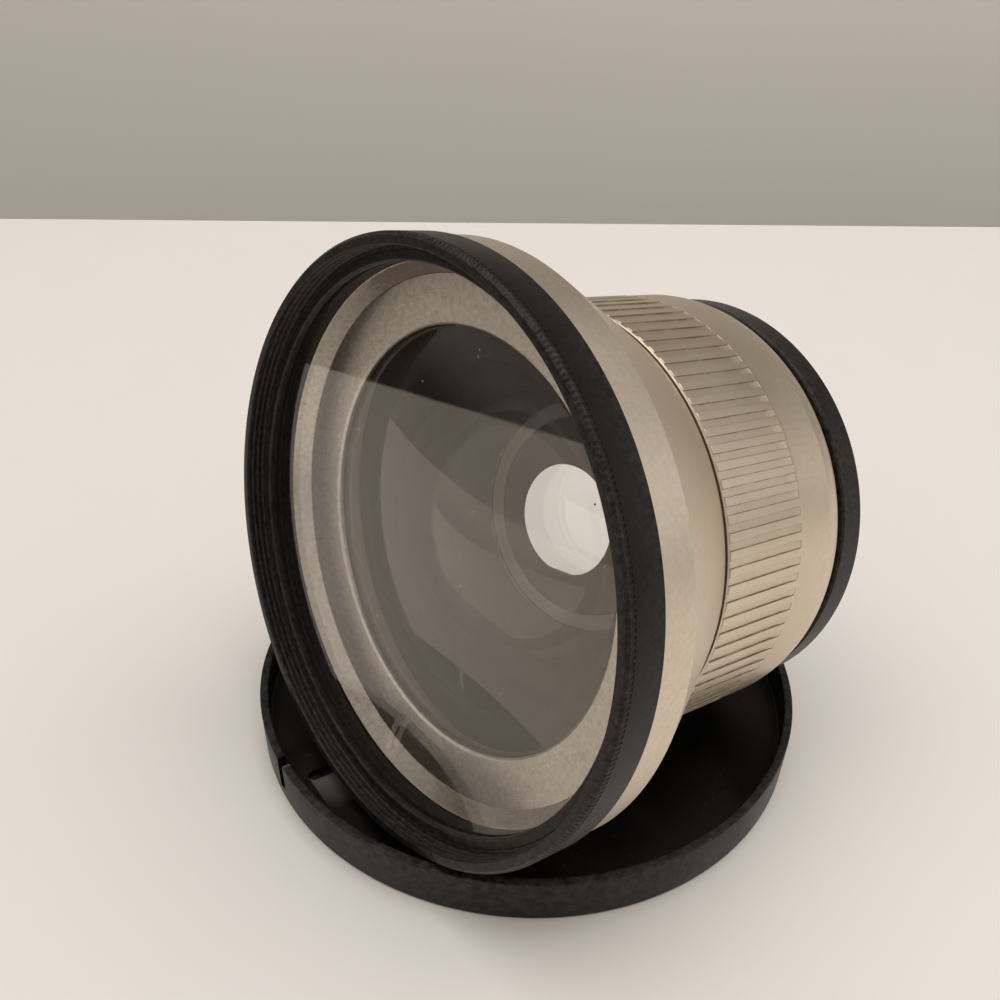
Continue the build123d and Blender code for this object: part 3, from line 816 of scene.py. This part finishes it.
def ribbed_barrel():
    """A ribbed grip whose grooves run out behind, a plain band and a round rear edge."""
    front = 25.498
    front_radius, front_chamfer_radius, front_chamfer_end = 28.93, 29.05, 25.6
    grip_radius, grip_start = 29.25, 25.66
    fade_start, fade_middle, fade_end = 37.4, 38.3, 39.15
    grip_end_radius, grip_end = 29.24, 39.22
    band_radius, band_start, band_end = 29.183, 39.8, 45.37
    round_edge = [(29.05, 46.4), (28.75, 47.5), (28.35, 48.3), (27.9, 48.95), (27.6, BARREL_REAR)]
    shoulder = 46.448
    flange_bore, flange_front, flange_rear = 21.35, 41.298, 41.848
    join_bore, join_bore_end = JOIN_THREAD + THREAD_GAP, 28.9
    outer = [
        (join_bore, front),
        (front_radius, front),
        (front_chamfer_radius, front_chamfer_end),
        (grip_radius, grip_start),
        (grip_radius, fade_start),
        (grip_radius, fade_middle),
        (grip_radius, fade_end),
        (grip_end_radius, grip_end),
        (band_radius, band_start),
        (band_radius, band_end),
    ]
    inner = [
        (SERIES_THREAD, BARREL_REAR),
        (SERIES_THREAD, shoulder),
        (BARREL_BORE, shoulder),
        (BARREL_BORE, flange_rear),
        (flange_bore, flange_rear),
        (flange_bore, flange_front),
        (BARREL_BORE, flange_front),
        (BARREL_BORE, join_bore_end),
        (join_bore, join_bore_end),
    ]
    rib_count = 90
    groove_side = [(0.225, 0.0), (0.244, 0.1), (0.252, 0.95), (0.275, 1.0), (0.31, 1.0)]
    rib_marks = [(-at, deep) for at, deep in groove_side[::-1]] + groove_side
    ribs = teeth(rib_count, rib_marks)
    # How much painted shade, partly dirt, each mark across a groove takes; the corners take most
    side_shade_and_dirt = (0.0, 0.4, 0.9, 0.55, 0.08)
    groove_shade_and_dirt = side_shade_and_dirt[::-1] + side_shade_and_dirt
    groove_depth, shallow_depth = 0.2, 0.06
    groove_radius, groove_start, groove_end = 29.1, 25.6, 39.18

    def cut(point):
        radius, position = point
        if radius <= groove_radius or not groove_start < position < groove_end:
            return 0.0
        faded = max(0.0, position - fade_start) / (fade_end - fade_start)
        return groove_depth - (groove_depth - shallow_depth) * faded

    profile = outer + round_edge + inner
    return turned("ribbed_barrel", profile, corner=0.05, angles=ribs, cut=cut, sharp=40, groove_shade_and_dirt=groove_shade_and_dirt)


def rear_wall():
    """The second half of the dark cone, with one flange at its rear."""
    front, rear = 28.6, 41.26
    rear_radius = 20.95
    outer = BARREL_BORE - SEAT_GAP
    return turned("dark_wall_rear", [
        (BAFFLE_MIDDLE_RADIUS, front),
        (BAFFLE_MIDDLE_RADIUS + BAFFLE_WALL, front),
        (rear_radius + BAFFLE_WALL, rear - BAFFLE_FLANGE),
        (outer, rear - BAFFLE_FLANGE),
        (outer, rear),
        (rear_radius, rear),
    ], corner=0.05)


def pale_ring():
    radius, bevel_width = 20.7, 0.4
    rear = CELL_POCKET - SEAT_GAP
    return turned("pale_ring", [
        (PALE_RING_BORE + bevel_width, CELL_FRONT),
        (radius, CELL_FRONT),
        (radius, rear),
        (PALE_RING_BORE, rear),
        (PALE_RING_BORE, CELL_FRONT + bevel_width),
    ], corner=0.04)


def stop_opening():
    """A cone that narrows towards the front, with a small round opening."""
    opening, cone_height = 9.7, 3.35
    wall, flange = 0.6, 0.4
    cone_radius = PALE_RING_BORE - 2 * SEAT_GAP
    front = CELL_POCKET - cone_height
    return turned("stop_opening", [
        (cone_radius, CELL_POCKET),
        (opening, front),
        (opening, front + wall),
        (cone_radius - wall, CELL_POCKET + flange),
        (REAR_GLASS_RADIUS, CELL_POCKET + flange),
        (REAR_GLASS_RADIUS, CELL_POCKET),
    ], corner=0.05)


def rear_glass_front():
    curve = 80.0
    front_edge, rear = 44.583, 45.383
    middle = 10.0
    vertex = front_edge - sag(curve, REAR_GLASS_RADIUS)
    return glass_body("rear_glass_front", [
        (dome(vertex, curve, REAR_GLASS_RADIUS, FORWARD, steps=48), POLISHED),
        (rim(REAR_GLASS_RADIUS, front_edge, rear), GROUND),
        (flat(rear, BACKWARD, REAR_GLASS_RADIUS, middle, 0.0), POLISHED),
    ])


def rear_glass_back():
    """Its front is hollow, with a flat edge that touches the spacer."""
    curve, hollow_radius = 160.0, 18.6
    front_edge, rear = 46.063, 48.148
    middle = 10.0
    vertex = front_edge + sag(curve, hollow_radius)
    hollow_radii = np.linspace(0, hollow_radius, 44)
    hollow = [(r, vertex - sag(curve, r), -r / curve, -1.0) for r in hollow_radii]
    return glass_body("rear_glass_back", [
        (hollow, POLISHED),
        (flat(front_edge, FORWARD, hollow_radius, REAR_GLASS_RADIUS), POLISHED),
        (rim(REAR_GLASS_RADIUS, front_edge, rear), GROUND),
        (flat(rear, BACKWARD, REAR_GLASS_RADIUS, middle, 0.0), POLISHED),
    ])


stand_for(ribbed_barrel(), "rear_barrel", "rear_section", "champagne_anodised", champagne_grip)
stand_for(rear_wall(), "rear_baffle", "rear_section", "baffle_paint", baffle_metal)
stand_for(pale_ring(), "rear_retainer", "rear_section", "champagne_anodised", pale_ring_metal)
stand_for(stop_opening(), "stop_cone", "rear_section", "baffle_paint", baffle_metal)
rear_a = stand_for(rear_glass_front(), "rear_element_front", "rear_section", "optical_glass",
                   dense_glass, ground_edge)
rear_b = stand_for(rear_glass_back(), "rear_element_back", "rear_section", "optical_glass",
                   light_glass, ground_edge)


# Adapter ring

def adapter():
    """A ring with a male thread at each end; the rear one shows its turns."""
    bore = 24.9
    neck_length, barrel_gap, mount_length = 2.5, 0.5, 2.4
    neck_radius, neck_front = SERIES_THREAD - THREAD_GAP, BARREL_REAR - neck_length
    front = BARREL_REAR + barrel_gap
    mount_radius, mount_end = 26.0, ADAPTER_REAR + mount_length
    chamfered = ADAPTER_RADIUS - ADAPTER_CHAMFER
    neck = [
        (bore, neck_front),
        (neck_radius, neck_front),
        (neck_radius, front),
        (chamfered, front),
        (ADAPTER_RADIUS, front + ADAPTER_CHAMFER),
        (ADAPTER_RADIUS, ADAPTER_REAR - ADAPTER_CHAMFER),
        (chamfered, ADAPTER_REAR),
        (mount_radius, ADAPTER_REAR),
    ]
    turns = thread_turns(mount_radius, ADAPTER_REAR, mount_end, -THREAD_DEPTH)
    tail = [(mount_radius - THREAD_LEAD, mount_end), (bore, mount_end)]
    return turned("adapter", neck + turns + tail, corner=0.06)


stand_for(adapter(), "adapter_ring", "adapter", "black_anodised", black_metal)

# Cap
SLOT_ANGLE = math.radians(-97.0)
SLOT_WAY = Vector((math.cos(SLOT_ANGLE), math.sin(SLOT_ANGLE), 0.0))
SLOT_ACROSS = Vector((-math.sin(SLOT_ANGLE), math.cos(SLOT_ANGLE), 0.0))
SLOT_HALF = 0.85


def block(name, outline, low, high):
    """A cutter from an outline of (along the slot, across it) points."""
    verts = []
    for z in (low, high):
        for a, b in outline:
            verts.append((SLOT_WAY * a + SLOT_ACROSS * b + Vector((0, 0, z))) * MM)
    n = len(outline)
    faces = [tuple(range(n))[::-1], tuple(range(n, 2 * n))]
    faces += [(i, (i + 1) % n, n + (i + 1) % n, n + i) for i in range(n)]
    obj = mesh_object(name, verts, faces, smooth=False)
    face_outwards(obj.data)
    return obj


def groove_cutter():
    """Cuts the groove in the floor, which has round ends."""
    start, end, depth, top = 21.4, 35.4, 1.0, 2.6
    steps = 10
    outline = []
    for centre, first_angle in ((start + SLOT_HALF, math.pi / 2), (end - SLOT_HALF, -math.pi / 2)):
        for k in range(steps + 1):
            angle = first_angle + math.pi * k / steps
            outline.append((centre + SLOT_HALF * math.cos(angle), SLOT_HALF * math.sin(angle)))
    return block("groove_cutter", outline, CAP_FLOOR - depth, top)


def gate_cutter():
    """Cuts the gap in the wall at the groove's outer end."""
    start, end, top = 36.9, 41.5, 8.6
    outline = [(start, -SLOT_HALF), (end, -SLOT_HALF), (end, SLOT_HALF), (start, SLOT_HALF)]
    return block("gate_cutter", outline, CAP_FLOOR, top)


def cap_section():
    """Half section of the cap from foot to floor, as (radius, height, how worn) points."""
    foot_radius, rim_radius = 39.0, 39.2
    # Each corner is its place, the size of its rounding and how worn it is
    corners = [
        ((foot_radius, 0.0), 0.5, 0.5),
        ((rim_radius, CAP_HEIGHT), 0.24, 1.0),
        ((CAP_BORE, CAP_HEIGHT), 0.2, 1.0),
        ((CAP_BORE, CAP_FLOOR), 0.3, 0.0),
    ]
    places = [(0.0, 0.0)] + [spot for spot, size, wear in corners] + [(0.0, CAP_FLOOR)]
    steps = 5
    out = []
    for i, (spot, size, wear) in enumerate(corners):
        here = np.array(spot)
        back, on = np.array(places[i]) - here, np.array(places[i + 2]) - here
        first, last = (here + way / np.linalg.norm(way) * size for way in (back, on))
        for k in range(steps + 1):
            out.append((*bend(first, here, last, k / steps), wear))
    return out


def turned_cap():
    section = cap_section()
    verts, wear = [], []
    for i in range(CAP_SEGMENTS):
        a = 2 * math.pi * i / CAP_SEGMENTS
        for r, z, worn in section:
            verts.append((r * math.cos(a) * MM, r * math.sin(a) * MM, z * MM))
            wear.append(worn)
    width = len(section)
    faces = []
    for i in range(CAP_SEGMENTS):
        a, b = i * width, (i + 1) % CAP_SEGMENTS * width
        faces += [(a + j, b + j, b + j + 1, a + j + 1) for j in range(width - 1)]
    underside = [i * width for i in range(CAP_SEGMENTS)]
    faces.append(tuple(underside[::-1]))
    faces.append(tuple(i + width - 1 for i in underside))
    obj = mesh_object("cap_shell", verts, faces)
    mark(obj.data, "worn", wear)
    return obj


def on_lip_highlight(point):
    """True along one side of the groove and of the gap, where a highlight is painted on the plastic."""
    start, gap_start, end = 21.0, 35.0, 40.0
    margin = 0.1
    along, across, height = point.dot(SLOT_WAY) / MM, point.dot(SLOT_ACROSS) / MM, point.z / MM
    on_floor = abs(height - CAP_FLOOR) < margin / 2
    in_gap = along > gap_start and height > CAP_FLOOR - margin
    beside = start < along < end and 0.0 < across < SLOT_HALF + margin
    return beside and (on_floor or in_gap)


def cap_shell():
    """The turned cap with its groove and gap cut out, and softened edges."""
    cap = turned_cap()
    cutters = [groove_cutter(), gate_cutter()]
    for cutter in cutters:
        boolean = cap.modifiers.new(cutter.name, "BOOLEAN")
        boolean.operation, boolean.solver, boolean.object = "DIFFERENCE", "EXACT", cutter
    depsgraph = bpy.context.evaluated_depsgraph_get()
    carved = bpy.data.meshes.new_from_object(cap.evaluated_get(depsgraph))
    cap.modifiers.clear()
    cap.data = carved
    for cutter in cutters:
        bpy.data.objects.remove(cutter)
    carved.set_sharp_from_angle(angle=math.radians(30))
    # The painted highlight goes along one side of the groove and of the gap.
    mark(carved, "lip_highlight", [1.0 if on_lip_highlight(vertex.co) else 0.0 for vertex in carved.vertices])
    softened = cap.modifiers.new("softened", "BEVEL")
    softened.width, softened.segments = 0.12 * MM, 2
    softened.limit_method, softened.angle_limit = "ANGLE", math.radians(50)
    softened.harden_normals = True
    return cap


stand_for(cap_shell(), "cap_body", "cap", "cap_plastic", cap_black)

# Pieces that keep their solids
dress(nodes["element_gasket"], nylon)
for name in ("rear_cell", "cell_lock_ring", "rear_spacer"):
    dress(nodes[name], dark_metal)

# Glass lets the lamps' light straight through
glass_pieces = (plate, big, rear_a, rear_b)
for obj in glass_pieces:
    obj.visible_shadow = False

# Camera
yaw, pitch, roll = math.radians(50.61), math.radians(33.22), math.radians(1.63)
camera_place = Vector((90.12, -79.97, 114.89)) * MM
ahead = Vector((-math.sin(yaw) * math.cos(pitch), math.cos(yaw) * math.cos(pitch), -math.sin(pitch)))
level = Vector((math.cos(yaw), math.sin(yaw), 0.0))
heading = Vector((-math.sin(yaw), math.cos(yaw), 0.0))
over = level.cross(ahead)
camera_right = math.cos(roll) * level + math.sin(roll) * over
camera_up = -math.sin(roll) * level + math.cos(roll) * over
camera_data = bpy.data.cameras.new("camera")
camera = bpy.data.objects.new("camera", camera_data)
scene.collection.objects.link(camera)
camera_data.sensor_width, camera_data.lens = 36.0, 38.326
camera_data.clip_start, camera_data.clip_end = 0.005, 20.0
turn_to = Matrix((camera_right, camera_up, -ahead)).transposed()
camera.matrix_world = Matrix.Translation(camera_place) @ turn_to.to_4x4()
scene.camera = camera


# Table and wall, in metres
EDGE_POINT = Vector((-0.27106, 0.00564, 0.0))
EDGE_WAY = Vector((0.58651, 0.80994, 0.0))
TABLE_CORNER = Vector((-0.2858, -0.0148, 0.0))
SIDE_WAY = Vector((0.53, -0.848, 0.0))


def table_material():
    mat, tree, shader = material("pale_table_top")
    v = object_place(tree)
    cloud = ramp(tree, noise(tree, v, 9.0), 0.3, 0.7)
    tone = mix(tree, cloud, (0.88, 0.84, 0.805), (0.865, 0.825, 0.79))
    tree.links.new(tone, shader.inputs["Base Color"])
    rough = ramp(tree, noise(tree, v, 60.0, 3.0), 0.3, 0.7, 0.5, 0.6)
    tree.links.new(rough, shader.inputs["Roughness"])
    shader.inputs["Specular IOR Level"].default_value = 0.3
    bump(tree, shader, noise(tree, v, 900.0, 3.0), 0.05, 0.0001)
    return mat


def wall_material():
    """Grey paint, with painted shade that makes it darker above the part that the camera sees."""
    pale_top, dark_bottom = 0.06, 0.30
    mat, tree, shader = material("grey_wall_paint_and_shade")
    v = object_place(tree)
    cloud = ramp(tree, noise(tree, v, 3.0), 0.3, 0.7)
    tone = mix(tree, cloud, (0.93, 0.88, 0.805), (0.91, 0.86, 0.785))
    # Painted shade: the wall turns dark above the part that the camera sees.
    above = ramp(tree, along_way(tree, v, (0.0, 0.0, 1.0)), pale_top, dark_bottom)
    tone = mix(tree, above, tone, (0.16, 0.145, 0.13))
    tree.links.new(tone, shader.inputs["Base Color"])
    shader.inputs["Roughness"].default_value = 0.9
    bump(tree, shader, noise(tree, v, 200.0, 3.0), 0.1, 0.0003)
    return mat


def table_top():
    """A slab whose far edge runs along EDGE_WAY."""
    length, width = 1.0, 0.9
    thickness = 0.02
    shares = ((0.0, 0.0), (length, 0.0), (length, width), (0.0, width))
    corners = [TABLE_CORNER + EDGE_WAY * a + SIDE_WAY * b for a, b in shares]
    verts = corners + [c - Vector((0, 0, thickness)) for c in corners]
    faces = [(0, 1, 2, 3), (7, 6, 5, 4), (0, 4, 5, 1), (1, 5, 6, 2), (2, 6, 7, 3), (3, 7, 4, 0)]
    obj = mesh_object("table_top", verts, faces)
    face_outwards(obj.data)
    rounding = obj.modifiers.new("rounding", "BEVEL")
    rounding.width, rounding.segments, rounding.harden_normals = 0.003, 4, True
    dress(obj, table_material())


def wall():
    """One upright face behind the table's far edge."""
    distance = 0.22
    left, right, bottom, top = -0.5, 2.4, -0.6, 1.4
    inward = Vector((EDGE_WAY.y, -EDGE_WAY.x, 0.0))
    start = EDGE_POINT - inward * distance
    corners = ((left, bottom), (right, bottom), (right, top), (left, top))
    verts = [start + EDGE_WAY * a + Vector((0, 0, b)) for a, b in corners]
    obj = mesh_object("wall", verts, [(0, 1, 2, 3)])
    dress(obj, wall_material())


table_top()
wall()

# The lamps leave the glass out, so that it mirrors the room and the table alone
lit = bpy.data.collections.new("lit_without_glass")
for obj in glass_pieces:
    lit.objects.link(obj)
for linked in lit.collection_objects:
    linked.light_linking.link_state = "EXCLUDE"


def lamp(name, place, target, size, power, colour):
    data = bpy.data.lights.new(name, "AREA")
    data.shape, data.size, data.size_y = "RECTANGLE", size[0], size[1]
    data.energy, data.color, data.spread = power, colour, math.pi
    obj = bpy.data.objects.new(name, data)
    scene.collection.objects.link(obj)
    obj.location = place
    obj.rotation_mode = "QUATERNION"
    obj.rotation_quaternion = (target - place).to_track_quat("-Z", "Y")
    obj.light_linking.receiver_collection = lit


def room():
    """Light from all round, dark below the horizon."""
    dark_end, pale_start = -0.06, 0.10
    dark, pale = (0.07, 0.062, 0.055), (0.60, 0.575, 0.54)
    world = bpy.data.worlds.new("room")
    world.use_nodes = True
    scene.world = world
    tree = world.node_tree
    background = tree.nodes["Background"]
    sky = tree.nodes.new("ShaderNodeTexCoord")
    split = tree.nodes.new("ShaderNodeSeparateXYZ")
    tree.links.new(sky.outputs["Generated"], split.inputs[0])
    tone = mix(tree, ramp(tree, split.outputs[2], dark_end, pale_start), dark, pale)
    tree.links.new(tone, background.inputs["Color"])
    background.inputs["Strength"].default_value = 0.9


centre = Vector((0.0, 0.0, 0.02))
over_place = centre + heading * 0.20 + Vector((0, 0, 0.8))
side_place = centre + level * 0.85 - heading * 0.15 + Vector((0, 0, 0.45))
lamp("over", over_place, centre + heading * 0.04, size=(1.3, 1.0), power=7.2, colour=(1.0, 0.975, 0.945))
lamp("side", side_place, centre, size=(1.2, 0.8), power=0.9, colour=(1.0, 0.97, 0.94))
room()

scene.view_settings.view_transform = "Standard"
scene.view_settings.look = "None"
scene.cycles.max_bounces = 20
scene.cycles.transmission_bounces = 16
scene.cycles.glossy_bounces = 6
scene.cycles.sample_clamp_indirect = 6.0
